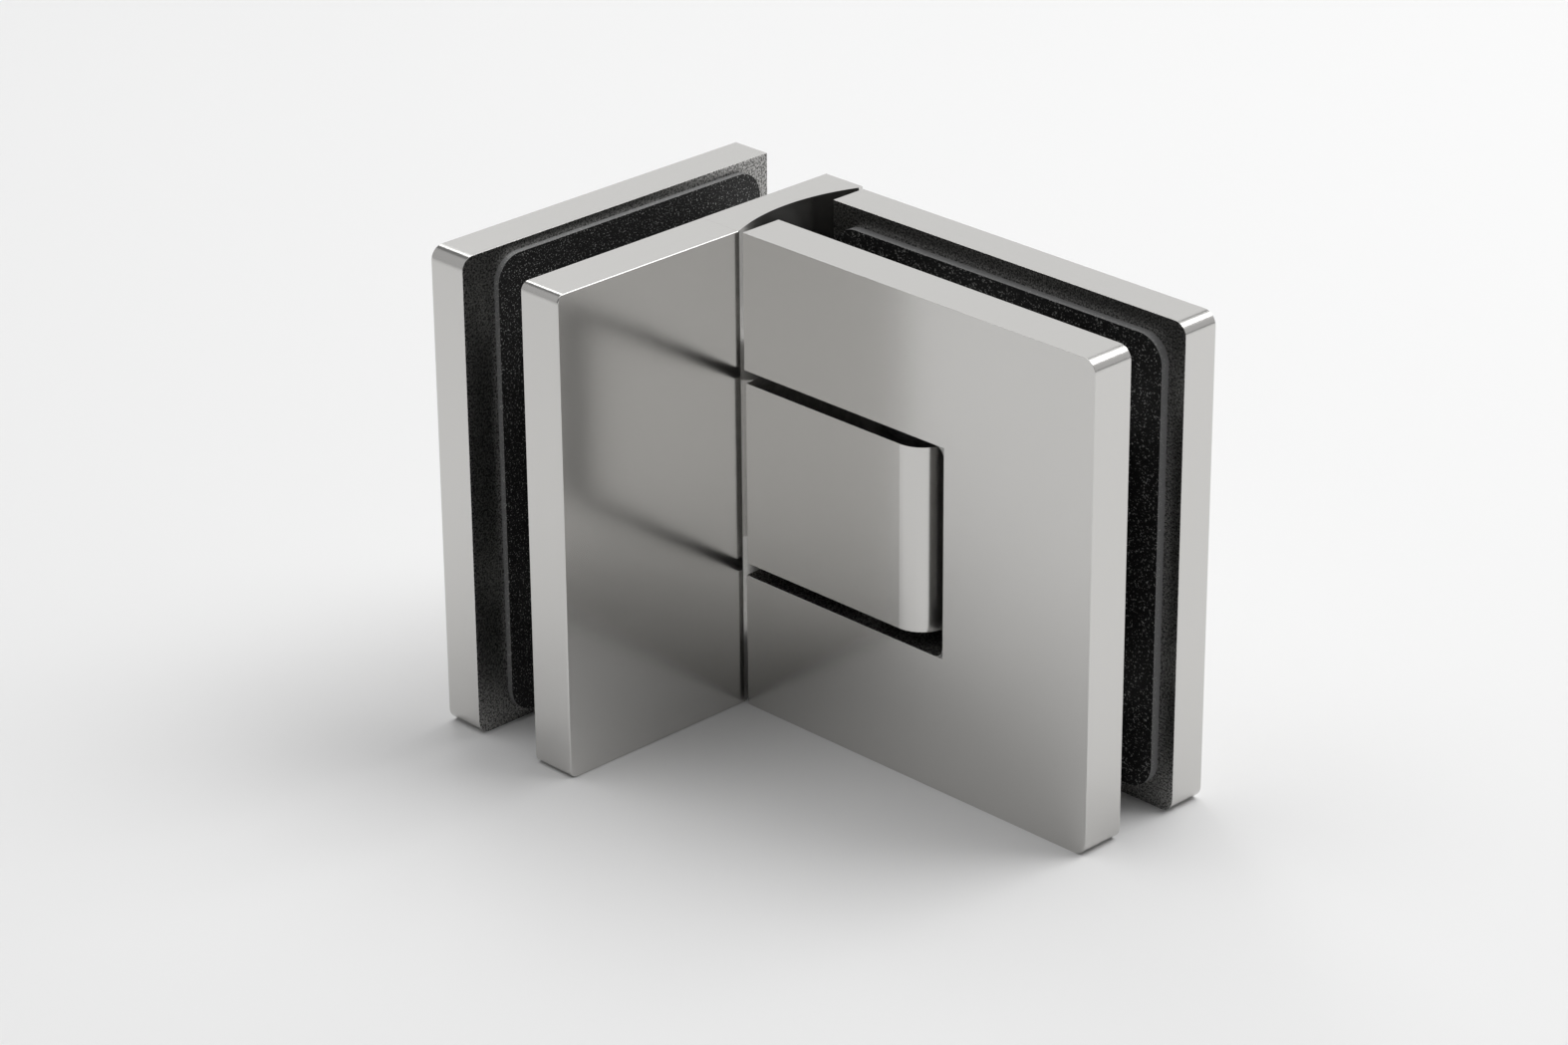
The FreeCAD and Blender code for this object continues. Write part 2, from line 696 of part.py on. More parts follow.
def pin_saddle(name, foot, mouth, screws, lock, upper):
    """A block between the door plates that grips one end of the pin and is screwed through."""
    body = new_body(name)
    sketch = new_sketch(body, name + "_outline", "XY_Plane", foot)
    outline(
        sketch,
        [
            "pivot_offset + saddle_half_length", DOOR_SLOT_FAR,
            "pivot_offset - saddle_half_length", "door_inner_thickness",
        ],
    )
    pad(body, sketch, "saddle_height")
    drill(
        body, name + "_bore", "XY_Plane", mouth, [("pivot_offset", PIVOT_Y)],
        PIN_RADIUS, "pin_grip", back=not upper,
    )
    drill(
        body, name + "_screws", "XZ_Plane", DOOR_SLOT_FAR, screws,
        "small_radius + screw_clearance",
    )
    drill(
        body, name + "_lock", "YZ_Plane", "pivot_offset", [lock],
        "small_radius", "saddle_half_length",
    )


def saddles():
    pin_saddle("upper_pin_saddle", NOTCH_TOP, NOTCH_TOP, SADDLE_SCREWS[:2], LOCK_SCREWS[0], True)
    pin_saddle("lower_pin_saddle", SADDLE_BOTTOM, NOTCH_BOTTOM, SADDLE_SCREWS[2:], LOCK_SCREWS[1], False)


def pin_lock_screws():
    """Socket set screws that press on the pin's end flats."""
    length = f"{LOCK_END} - {LOCK_TIP}"
    members = []
    for index, (y, z) in enumerate(LOCK_SCREWS, 1):
        name = f"lock_screw_{index}"
        thread = cylinder(name + "_thread", "small_radius - thread_ease", length)
        recess = prism(name + "_socket", "small_socket", "socket_depth")
        bind(recess, **{"Placement.Base.z": f"{length} - socket_depth"})
        screw = less(name, thread, recess)
        place(screw, LOCK_TIP, y, z, FACING_SIDE)
        members.append(screw)
    group("pin_lock_screws", members)


def screw_group(name, places, member_name, sizes, face, turn, along):
    """Countersunk screws with their heads on one face, at places along a leaf."""
    members = []
    for index, (reach, height) in enumerate(places, 1):
        screw = countersunk_screw(f"{member_name}_{index}", *sizes)
        x, y = (face, reach) if along == "y" else (reach, face)
        place(screw, x, y, height, turn)
        members.append(screw)
    group(name, members)


def clamp_screws():
    fixed_length = "fixed_outer_thickness + fixed_slot_width + thread_engagement"
    door_length = "door_outer_thickness + door_slot_width + thread_engagement"
    clamp = ("clamp_radius", "clamp_head_radius")
    small = ("small_radius", "small_head_radius")
    screw_group(
        "fixed_clamp_screws", FIXED_SCREWS + COLUMN_SCREWS, "fixed_screw",
        (*clamp, fixed_length, "clamp_socket"), FIXED_BACK, FACING_BACK, "y",
    )
    screw_group(
        "block_screws", BLOCK_SCREWS, "block_screw",
        (*small, "block_screw_length", "small_socket"), FIXED_SLOT_NEAR, FACING_BACK, "y",
    )
    screw_group(
        "door_clamp_screws", DOOR_SCREWS, "door_screw",
        (*clamp, door_length, "clamp_socket"), DOOR_THICKNESS, FACING_OUT, "x",
    )
    screw_group(
        "saddle_screws", SADDLE_SCREWS, "saddle_screw",
        (*small, door_length, "small_socket"), DOOR_THICKNESS, FACING_OUT, "x",
    )


def screw_sleeves():
    """Sleeves that keep the clamp screws off the glass, from one rubber face to the other."""
    bore = "clamp_radius + screw_clearance"
    fixed_length = "fixed_slot_width - 2 * fixed_gasket_thickness"
    members = []
    for index, (y, z) in enumerate(FIXED_SCREWS + COLUMN_SCREWS, 1):
        sleeve = tube(f"fixed_sleeve_{index}", "sleeve_radius", bore, fixed_length)
        place(sleeve, f"{FIXED_SLOT_FAR} + fixed_gasket_thickness", y, z, FACING_SIDE)
        members.append(sleeve)
    group("fixed_screw_sleeves", members)

    door_length = "door_slot_width - 2 * door_gasket_thickness"
    members = []
    for index, (x, z) in enumerate(DOOR_SCREWS, 1):
        sleeve = tube(f"door_sleeve_{index}", "sleeve_radius", bore, door_length)
        place(sleeve, x, "door_inner_thickness + door_gasket_thickness", z, FACING_OUT)
        members.append(sleeve)
    group("door_screw_sleeves", members)


def fixed_gasket(name, face):
    """A rubber layer on one of the fixed leaf's glass faces, its lower x at face."""
    body = new_body(name)
    sketch = new_sketch(body, name + "_outline", "YZ_Plane", face)
    sides = [
        f"{COLUMN_DEPTH} - fixed_gasket_far", "plate_height - fixed_gasket_margin",
        f"{FIXED_END} + fixed_gasket_near", "fixed_gasket_margin",
    ]
    outline(sketch, sides, {corner: "gasket_rounding" for corner in range(4)})
    pad(body, sketch, "fixed_gasket_thickness")
    drill(
        body, name + "_holes", "YZ_Plane", face, FIXED_SCREWS + COLUMN_SCREWS,
        "clamp_radius + screw_clearance", "fixed_gasket_thickness",
    )


def door_gasket(name, face):
    """A rubber layer between the door plates, cut away around the block and the saddles."""
    body = new_body(name)
    sketch = new_sketch(body, name + "_outline", "XZ_Plane", face)
    far = "leaf_gap + door_gasket_far"
    sides = [
        f"{DOOR_END} - door_gasket_near", "plate_height - door_gasket_margin",
        far, f"{SADDLE_TOP} + saddle_margin",
        f"{NOTCH_WALL} + mechanism_margin", f"{SADDLE_BOTTOM} - saddle_margin",
        far, "door_gasket_margin",
    ]
    # Over and under the saddles the rubber is a strip, whose end keeps a straight land
    end_rounding = f"min(gasket_rounding; {sides[1]} - ({sides[3]}) - gasket_land)"
    rounded = {0: "gasket_rounding", 1: end_rounding, 6: end_rounding, 7: "gasket_rounding"}
    outline(sketch, sides, rounded)
    pad(body, sketch, "door_gasket_thickness", back=True)
    drill(
        body, name + "_holes", "XZ_Plane", f"({face} + door_gasket_thickness)", DOOR_SCREWS,
        "clamp_radius + screw_clearance", "door_gasket_thickness",
    )


def gaskets():
    """One rubber layer on each of the plates' glass faces."""
    fixed_gasket("fixed_outer_gasket", FIXED_SLOT_FAR)
    fixed_gasket("fixed_inner_gasket", f"({FIXED_SLOT_NEAR} - fixed_gasket_thickness)")
    door_gasket("door_inner_gasket", "door_inner_thickness")
    door_gasket("door_outer_gasket", f"({DOOR_SLOT_FAR} - door_gasket_thickness)")


def check():
    """Stops the build if any object failed or any piece isn't a whole solid."""
    for item in doc.Objects:
        if "Invalid" in item.State or "Error" in item.State:
            raise RuntimeError(f"{item.Name} failed: {item.State}")
    for item in nodes:
        shape = item.Shape
        if shape.isNull() or not shape.isValid() or not shape.Solids:
            raise RuntimeError(f"{item.Label} has no valid shape")
        print(f"{item.Label:22s} solids {len(shape.Solids)}  volume {shape.Volume:10.2f} mm3")


def main():
    fill_sheet()
    fixed_inner_plate()
    fixed_outer_plate()
    hinge_column()
    pivot_block()
    bushes()
    thrust_washers()
    pivot_pin()
    detent_plunger()
    detent_spring()
    preload_screw()
    door_plates()
    saddles()
    pin_lock_screws()
    clamp_screws()
    screw_sleeves()
    gaskets()
    doc.recompute()
    check()
    os.makedirs("parts", exist_ok=True)
    for item in nodes:
        item.Shape.exportStep(f"parts/{item.Label}.step")


main()
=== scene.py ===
import math

import bpy
from bpy.props import FloatProperty, FloatVectorProperty, PointerProperty
from mathutils import Matrix, Vector


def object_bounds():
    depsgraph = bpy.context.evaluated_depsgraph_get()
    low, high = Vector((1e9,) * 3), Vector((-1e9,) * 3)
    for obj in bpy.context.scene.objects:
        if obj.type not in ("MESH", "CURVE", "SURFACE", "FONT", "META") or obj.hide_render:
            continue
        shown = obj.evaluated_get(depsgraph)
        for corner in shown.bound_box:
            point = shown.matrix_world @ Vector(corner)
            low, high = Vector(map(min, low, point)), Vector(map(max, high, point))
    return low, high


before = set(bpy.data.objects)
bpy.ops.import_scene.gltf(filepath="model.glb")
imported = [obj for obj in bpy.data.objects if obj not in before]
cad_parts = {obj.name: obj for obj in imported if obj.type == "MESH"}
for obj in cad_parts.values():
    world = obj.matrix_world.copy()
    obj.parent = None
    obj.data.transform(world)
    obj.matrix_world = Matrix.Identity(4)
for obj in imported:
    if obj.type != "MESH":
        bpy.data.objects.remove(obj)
CAD_BOX = [list(corner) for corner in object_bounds()]

bl_info = {
    "name": "Glass Door Hinge",
    "version": (1, 0, 0),
    "blender": (4, 5, 0),
    "location": "3D View > Sidebar > Glass Hinge",
    "description": "Dresses the pieces of a right-angle glass door hinge and sets its stage",
    "category": "Object",
}

MM = 0.001

# Each leaf and the axis of the frame that runs across its glass: 0 for X, 1 for Y
LEAVES = {"fixed": 0, "door": 1}
SIDES = ("inner", "outer")

# The clear gaps round the pivot block in the door leaf's notch: above and below it, and past its nose
BLOCK_GAP = 2.35 * MM
NOSE_GAP = 4.6 * MM

# A mask reaches this far past a wall, so that the wall itself is surely in it
MASK_ROOM = 0.02 * MM

# Which finish each hidden piece of the hinge has, under the name of its slot
HIDDEN_FINISHES = {
    "satin_metal": ("upper_pin_saddle", "lower_pin_saddle"),
    "pin_steel": ("pivot_pin", "detent_plunger"),
    "spring_steel": ("detent_spring",),
    "screw_steel": (
        "preload_screw", "block_screws", "pin_lock_screws", "fixed_clamp_screws",
        "door_clamp_screws", "saddle_screws",
    ),
    "bush_plastic": ("upper_bush", "lower_bush"),
    "washer_plastic": ("upper_thrust_washer", "lower_thrust_washer"),
    "sleeve_plastic": ("fixed_screw_sleeves", "door_screw_sleeves"),
}

# Each finish's grain: its size, how far it spreads the roughness and the tone, and its depth
GRAINS = {
    "mirror_metal": (0.25 * MM, 0.02, 0.02, 0.0004 * MM),
    "satin_metal": (0.2 * MM, 0.06, 0.08, 0.004 * MM),
    "pin_steel": (0.1 * MM, 0.04, 0.04, 0.002 * MM),
    "spring_steel": (0.2 * MM, 0.05, 0.1, 0.003 * MM),
    "screw_steel": (0.2 * MM, 0.05, 0.08, 0.003 * MM),
    "bush_plastic": (0.3 * MM, 0.06, 0.1, 0.004 * MM),
    "washer_plastic": (0.3 * MM, 0.06, 0.1, 0.004 * MM),
    "sleeve_plastic": (0.3 * MM, 0.06, 0.04, 0.004 * MM),
}

# The size of the broad unevenness that every grain rides on
CLOUD_SIZE = 25 * MM

# The machined walls: the noise at which their grain is darkest and lightest, and its shades there, which
# are low enough to paint the shade of the slot and the notch as well as the grain
MACHINED_NOISE = (0.35, 0.65)
MACHINED_GRAIN_AND_SHADE = (0.15, 0.8)

# The rubber's specks: the noise at which one begins and is full, and how strongly and how far one
# stands out
SPECK_NOISE = (0.6, 0.75)
SPECK_BUMP = (0.6, 0.04 * MM)

# The depths behind the face on the glass between which the specks thin out, and the share of them
# left past there
SPECK_DEPTHS = (0.7 * MM, 1.2 * MM)
SPECKS_LEFT = 0.15

# The depth behind that face at which a layer's cut edge begins, and the roughness of the rubber's
# ground and of a speck
EDGE_DEPTH = 0.03 * MM
RUBBER_ROUGHNESS = (0.6, 0.3)

# Each lamp's azimuth and elevation in degrees as seen from the hinge, its width and its power
LAMPS = {
    "overhead_right_lamp": (45, 70, 1.0, 3.1),
    "overhead_left_lamp": (135, 70, 1.0, 3.3),
    "overhead_front_lamp": (225, 70, 1.0, 4.5),
    "key_lamp": (60, 55, 0.9, 9.9),
    "back_lamp": (95, 56, 0.5, 1.4),
    "high_left_lamp": (151, 43, 0.4, 1.4),
    "low_left_lamp": (134, 28, 0.9, 1.8),
    "low_right_lamp": (50, 25, 1.2, 1.8),
    "left_fill_lamp": (212, 22, 1.3, 1.8),
}


class GlassHingeMetal(bpy.types.PropertyGroup):
    """The metals: the mirror finish of plates, column and block, and the plainer hidden steel."""

    mirror_color: FloatVectorProperty(
        name="Mirror Colour", description="Reflectance of the polished plates",
        subtype="COLOR", size=3, min=0, max=1, default=(0.63, 0.622, 0.606),
    )
    mirror_roughness: FloatProperty(
        name="Mirror Roughness", description="How much the polished faces blur what they reflect",
        subtype="FACTOR", min=0, max=1, default=0.2,
    )
    machined_roughness: FloatProperty(
        name="Machined Roughness", description="Blur of the plates' unpolished walls",
        subtype="FACTOR", min=0, max=1, default=0.36,
    )
    machined_grain: FloatProperty(
        name="Machined Grain", description="Size of the grain on the plates' unpolished walls",
        unit="LENGTH", min=0.00001, max=0.01, precision=5, default=MM / 3,
    )
    steel_color: FloatVectorProperty(
        name="Steel Colour", description="Reflectance of the pin, the screws and the saddles",
        subtype="COLOR", size=3, min=0, max=1, default=(0.56, 0.555, 0.545),
    )
    spring_color: FloatVectorProperty(
        name="Spring Colour", description="Reflectance of the detent's spring",
        subtype="COLOR", size=3, min=0, max=1, default=(0.3, 0.3, 0.32),
    )
    steel_roughness: FloatProperty(
        name="Steel Roughness", description="Blur of the pin, the screws, the saddles and the spring",
        subtype="FACTOR", min=0, max=1, default=0.3,
    )


class GlassHingePlastic(bpy.types.PropertyGroup):
    """The plastics: black bushes and thrust washers, and pale sleeves round the clamp screws."""

    bush_color: FloatVectorProperty(
        name="Bush Colour", description="Colour of the bushes in the pivot block",
        subtype="COLOR", size=3, min=0, max=1, default=(0.06, 0.06, 0.06),
    )
    washer_color: FloatVectorProperty(
        name="Washer Colour", description="Colour of the thrust washers",
        subtype="COLOR", size=3, min=0, max=1, default=(0.03, 0.03, 0.03),
    )
    bearing_roughness: FloatProperty(
        name="Bearing Roughness", description="Blur of the bushes and the thrust washers",
        subtype="FACTOR", min=0, max=1, default=0.45,
    )
    sleeve_color: FloatVectorProperty(
        name="Sleeve Colour", description="Colour of the clamp screws' sleeves",
        subtype="COLOR", size=3, min=0, max=1, default=(0.72, 0.72, 0.7),
    )
    sleeve_roughness: FloatProperty(
        name="Sleeve Roughness", description="Blur of the clamp screws' sleeves",
        subtype="FACTOR", min=0, max=1, default=0.4,
    )


class GlassHingeRubber(bpy.types.PropertyGroup):
    """The rubber layers that hold the glass: black rubber whose faces on the glass are darkened to near
    black as painted shade of the slots, and whose cut edge is lightened to pale grey as painted light.
    """

    # Painted shade: the faces deep in the slots are made near black, darker than the rubber's own black
    shaded_face_color: FloatVectorProperty(
        name="Shaded Face Colour", description="Ground colour of the faces that press on the glass",
        subtype="COLOR", size=3, min=0, max=1, default=(0.002, 0.002, 0.0021),
    )
    # Painted light: the cut edge, which faces out of the slot, is made pale grey, lighter than the
    # rubber's own black
    lit_edge_color: FloatVectorProperty(
        name="Edge Colour", description="Ground colour of the cut edge all round a layer",
        subtype="COLOR", size=3, min=0, max=1, default=(0.19, 0.19, 0.191),
    )
    speck_color: FloatVectorProperty(
        name="Speck Colour", description="Colour of the light specks in the rubber",
        subtype="COLOR", size=3, min=0, max=1, default=(0.45, 0.45, 0.44),
    )
    speck_size: FloatProperty(
        name="Speck Size", description="Distance between the rubber's specks",
        unit="LENGTH", min=0.00001, max=0.01, precision=5, default=0.3 * MM,
    )


class GlassHingeStage(bpy.types.PropertyGroup):
    """The floor, the lamps and the camera."""

    floor_color: FloatVectorProperty(
        name="Floor Colour", description="Colour of the floor",
        subtype="COLOR", size=3, min=0, max=1, default=(0.83, 0.83, 0.83),
    )
    floor_size: FloatProperty(
        name="Floor Size", description="Width of the floor", unit="LENGTH", min=0.5, default=12.0,
    )
    sky_strength: FloatProperty(
        name="Sky Strength", description="Light that comes from all round", min=0, default=0.18,
    )
    lamp_strength: FloatProperty(
        name="Lamp Strength", description="Factor on the power of every lamp", min=0, default=1.0,
    )
    lamp_distance: FloatProperty(
        name="Lamp Distance", description="How far the lamps hang from the hinge",
        unit="LENGTH", min=0.1, default=1.5,
    )
    camera_place: FloatVectorProperty(
        name="Camera Place", description="Where the camera stands",
        subtype="XYZ", unit="LENGTH", size=3, precision=6, default=(0.529399, -0.52531, 0.388531),
    )
    camera_azimuth: FloatProperty(
        name="Azimuth", description="Where the camera stands round the hinge, from the X axis",
        subtype="ANGLE", default=math.radians(-44.316),
    )
    camera_elevation: FloatProperty(
        name="Elevation", description="How far the camera looks down",
        subtype="ANGLE", default=math.radians(24.713),
    )
    camera_roll: FloatProperty(
        name="Roll", description="Turn of the camera about its own axis",
        subtype="ANGLE", default=math.radians(-0.462),
    )
    camera_lens: FloatProperty(
        name="Lens", description="Focal length of the camera, in millimetres",
        unit="CAMERA", min=10, default=110.64,
    )


class Graph:
    """Places shader nodes in a tree from left to right and links them."""

    def __init__(self, tree):
        self.tree = tree
        self.count = 0

    def node(self, kind, links=None, **settings):
        """A node of a kind, with its own settings, and its inputs linked or set by name or number."""
        made = self.tree.nodes.new(kind)
        made.location = (220 * self.count, 0)
        self.count += 1
        for name, value in settings.items():
            setattr(made, name, value)
        for name, value in (links or {}).items():
            if isinstance(value, bpy.types.NodeSocket):
                self.tree.links.new(value, made.inputs[name])
            else:
                made.inputs[name].default_value = value
        return made

    def group(self, name, links):
        """The outputs of one of the shared groups, which is built when it is first used."""
        if name not in bpy.data.node_groups:
            GROUPS[name]()
        return self.node("ShaderNodeGroup", links, node_tree=bpy.data.node_groups[name]).outputs

    def place(self):
        """The shaded point's place on its piece, which is its place in the frame."""
        return self.node("ShaderNodeTexCoord").outputs["Object"]

    def noise(self, place, scale, detail, roughness=0.5):
        links = {"Vector": place, "Scale": scale, "Detail": detail, "Roughness": roughness}
        return self.node("ShaderNodeTexNoise", links).outputs["Fac"]

    def math(self, operation, first, second):
        return self.node("ShaderNodeMath", {0: first, 1: second}, operation=operation).outputs[0]

    def distance(self, place, axis, middle):
        """How far a place is from the plane across an axis at its middle, |place . axis - middle|."""
        along = self.node("ShaderNodeVectorMath", {0: place, 1: axis}, operation="DOT_PRODUCT")
        offset = self.math("SUBTRACT", along.outputs["Value"], middle)
        return self.math("ABSOLUTE", offset, 0.0)

    def between(self, value, low, high, start=0.0, end=1.0):
        """A value that goes from low to high as another goes from its start to its end."""
        links = {"Value": value, "From Min": start, "From Max": end, "To Min": low, "To Max": high}
        return self.node("ShaderNodeMapRange", links).outputs["Result"]

    def mix(self, factor, low, high):
        """A colour between two others."""
        links = {"Factor": factor, 6: low, 7: high}
        return self.node("ShaderNodeMix", links, data_type="RGBA").outputs[2]

    def dimmed(self, color, factor):
        """A colour times a factor."""
        links = {0: color, "Scale": factor}
        return self.node("ShaderNodeVectorMath", links, operation="SCALE").outputs["Vector"]


def rgba(color):
    return (*color, 1.0)


def new_group(name, inputs, outputs):
    """An empty group's graph and the sockets it is given: (name, type, default) for each input."""
    group = bpy.data.node_groups.new(name, "ShaderNodeTree")
    for label, kind, default in inputs:
        socket = group.interface.new_socket(label, in_out="INPUT", socket_type="NodeSocket" + kind)
        socket.default_value = default
    for label, kind in outputs:
        group.interface.new_socket(label, in_out="OUTPUT", socket_type="NodeSocket" + kind)
    graph = Graph(group)
    return graph, graph.node("NodeGroupInput").outputs


def finish_group(graph, results):
    graph.node("NodeGroupOutput", results)


def build_surface_grain():
    """Fine grain on metal or plastic, which spreads the roughness, dims the tone and gives a height."""
    graph, given = new_group(
        "surface_grain",
        [
            ("Grain Scale", "Float", 4000.0), ("Cloud Scale", "Float", 40.0),
            ("Roughness", "Float", 0.2), ("Spread", "Float", 0.02), ("Tone Spread", "Float", 0.02),
            ("Color", "Color", (0.6, 0.6, 0.6, 1.0)),
        ],
        [("Color", "Color"), ("Roughness", "Float"), ("Height", "Float")],
    )
    place = graph.place()
    fine = graph.noise(place, given["Grain Scale"], 2.0, 0.6)
    cloud = graph.noise(place, given["Cloud Scale"], 3.0)
    both = graph.math("MULTIPLY", graph.math("ADD", fine, cloud), 0.5)
    smoothest = graph.math("SUBTRACT", given["Roughness"], given["Spread"])
    roughest = graph.math("ADD", given["Roughness"], given["Spread"])
    darkest = graph.math("SUBTRACT", 1.0, given["Tone Spread"])
    finish_group(
        graph,
        {
            "Color": graph.dimmed(given["Color"], graph.between(both, darkest, 1.0)),
            "Roughness": graph.between(both, smoothest, roughest), "Height": fine,
        },
    )


def build_machined_walls_with_shade():
    """Tells the unpolished walls of a plate, in its slot and its notch, from the polished rest.

    A point P is in the slot where |P . Axis - Middle| < Half Slot, and in the notch where P.x is
    less than Notch End and P.z lies between Notch Low and Notch High. Only walls lie there. Their
    grain darkens the colour in places, dark enough to paint the shade in the slot and the notch; their
    roughness is their own.
    """
    graph, given = new_group(
        "machined_walls_with_shade",
        [
            ("Axis", "Vector", (1.0, 0.0, 0.0)), ("Middle", "Float", 0.0), ("Half Slot", "Float", 0.007),
            ("Notch End", "Float", -1.0), ("Notch Low", "Float", 0.0), ("Notch High", "Float", 0.0),
            ("Color", "Color", (0.6, 0.6, 0.6, 1.0)), ("Roughness", "Float", 0.2),
            ("Wall Roughness", "Float", 0.4), ("Grain Scale", "Float", 3000.0),
        ],
        [("Color", "Color"), ("Roughness", "Float")],
    )
    place = graph.place()
    distance = graph.distance(place, given["Axis"], given["Middle"])
    in_slot = graph.math("LESS_THAN", distance, given["Half Slot"])
    parts = graph.node("ShaderNodeSeparateXYZ", {0: place}).outputs
    short_of_end = graph.math("LESS_THAN", parts["X"], given["Notch End"])
    over_low = graph.math("GREATER_THAN", parts["Z"], given["Notch Low"])
    under_high = graph.math("LESS_THAN", parts["Z"], given["Notch High"])
    in_notch = graph.math("MULTIPLY", short_of_end, graph.math("MULTIPLY", over_low, under_high))
    wall = graph.math("MAXIMUM", in_slot, in_notch)
    grain = graph.noise(place, given["Grain Scale"], 1.0)
    # Painted shade: the walls in the slot and the notch are darkened to between 0.15 and 0.8 of the
    # metal's colour, together with their grain
    machined_and_shaded = graph.dimmed(given["Color"], graph.between(grain, *MACHINED_GRAIN_AND_SHADE, *MACHINED_NOISE))
    finish_group(
        graph,
        {
            "Color": graph.mix(wall, given["Color"], machined_and_shaded),
            "Roughness": graph.between(wall, given["Roughness"], given["Wall Roughness"]),
        },
    )


def build_rubber_speckle():
    """Light specks scattered over black rubber, whose faces on the glass are painted near black as
    painted shade and whose cut edge is painted greyer as painted light.

    The distance from the glass's middle plane, |P . Axis - Middle|, tells the edge from the face
    on the glass, which lies at the distance Half Glass. The specks thin out towards the plate.
    """
    graph, given = new_group(
        "rubber_speckle",
        [
            ("Axis", "Vector", (1.0, 0.0, 0.0)), ("Middle", "Float", 0.0),
            ("Half Glass", "Float", 0.006), ("Scale", "Float", 3000.0),
            ("Shaded Face", "Color", (0.005, 0.005, 0.005, 1.0)), ("Edge", "Color", (0.1, 0.1, 0.1, 1.0)),
            ("Speck", "Color", (0.5, 0.5, 0.5, 1.0)),
        ],
        [("Color", "Color"), ("Roughness", "Float"), ("Height", "Float")],
    )
    place = graph.place()
    distance = graph.distance(place, given["Axis"], given["Middle"])
    depth = graph.math("SUBTRACT", distance, given["Half Glass"])
    on_edge = graph.math("GREATER_THAN", depth, EDGE_DEPTH)
    dot = graph.between(graph.noise(place, given["Scale"], 1.0), 0.0, 1.0, *SPECK_NOISE)
    left = graph.between(depth, 1.0, SPECKS_LEFT, *SPECK_DEPTHS)
    speck = graph.math("MULTIPLY", dot, left)
    # Painted light and shade: the cut edge gets the pale lit colour and the faces on the glass the
    # near-black shaded one
    lit_and_shaded_ground = graph.mix(on_edge, given["Shaded Face"], given["Edge"])
    finish_group(
        graph,
        {
            "Color": graph.mix(speck, lit_and_shaded_ground, given["Speck"]),
            "Roughness": graph.between(speck, *RUBBER_ROUGHNESS), "Height": speck,
        },
    )


GROUPS = {
    "surface_grain": build_surface_grain,
    "machined_walls_with_shade": build_machined_walls_with_shade,
    "rubber_speckle": build_rubber_speckle,
}


def extent(name, axis):
    """Where a piece begins and ends along an axis of the frame."""
    places = [corner[axis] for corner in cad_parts[name].bound_box]
    return min(places), max(places)


def both_sides(leaf, kind):
    """The names of a leaf's inner and outer piece of a kind."""
    return [f"{leaf}_{side}_{kind}" for side in SIDES]


def space_between(leaf, kind):
    """The axis, the middle and half the width of the space between a leaf's two pieces of a kind."""
    across = LEAVES[leaf]
    near, far = sorted(extent(name, across) for name in both_sides(leaf, kind))
    axis = [float(across == k) for k in range(3)]
    return axis, (near[1] + far[0]) / 2, (far[0] - near[1]) / 2


def new_material(name, metallic=0.0):
    """A material with its own Principled shader, and the graph to feed it."""
    made = bpy.data.materials.new(name)
    made.use_nodes = True
    shader = made.node_tree.nodes["Principled BSDF"]
    shader.location = (1600, 0)
    shader.inputs["Metallic"].default_value = metallic
    return made, Graph(made.node_tree), shader


def feed(graph, shader, color, roughness, height, strength, depth):
    """Links a colour, a roughness and a bumped normal to the shader."""
    links = {"Height": height, "Strength": strength, "Distance": depth}
    normal = graph.node("ShaderNodeBump", links).outputs["Normal"]
    for label, source in (("Base Color", color), ("Roughness", roughness), ("Normal", normal)):
        graph.tree.links.new(source, shader.inputs[label])


def add_grain(graph, slot, color, roughness):
    """The outputs of the shared grain with a finish's own values, and the depth of its bumps."""
    size, spread, tone_spread, depth = GRAINS[slot]
    links = {
        "Grain Scale": 1 / size, "Cloud Scale": 1 / CLOUD_SIZE, "Roughness": roughness,
        "Spread": spread, "Tone Spread": tone_spread, "Color": rgba(color),
    }
    return graph.group("surface_grain", links), depth


def grained_material(slot, color, roughness, metallic):
    """A metal or plastic finish from the shared grain, named as its slot."""
    made, graph, shader = new_material(slot, metallic)
    grain, depth = add_grain(graph, slot, color, roughness)
    feed(graph, shader, grain["Color"], grain["Roughness"], grain["Height"], 1.0, depth)
    return made


def notch_links():
    """The values for the door leaf's notch, whose walls stand clear of the pivot block."""
    nose = extent("pivot_block", 0)[1]
    bottom, top = extent("pivot_block", 2)
    return {
        "Notch End": nose + NOSE_GAP + MASK_ROOM, "Notch Low": bottom - BLOCK_GAP - MASK_ROOM,
        "Notch High": top + BLOCK_GAP + MASK_ROOM,
    }


def plate_material(leaf, metal):
    """Polished metal whose walls in the leaf's slot and notch are left as machined and darkened as
    painted shade.
    """
    made, graph, shader = new_material(leaf + "_plate_metal", 1.0)
    grain, depth = add_grain(graph, "mirror_metal", metal.mirror_color, metal.mirror_roughness)
    axis, middle, half_slot = space_between(leaf, "plate")
    links = {
        "Axis": axis, "Middle": middle, "Half Slot": half_slot + MASK_ROOM,
        "Color": grain["Color"], "Roughness": grain["Roughness"],
        "Wall Roughness": metal.machined_roughness, "Grain Scale": 1 / metal.machined_grain,
    }
    if leaf == "door":
        links.update(notch_links())
    walls = graph.group("machined_walls_with_shade", links)
    feed(graph, shader, walls["Color"], walls["Roughness"], grain["Height"], 1.0, depth)
    return made


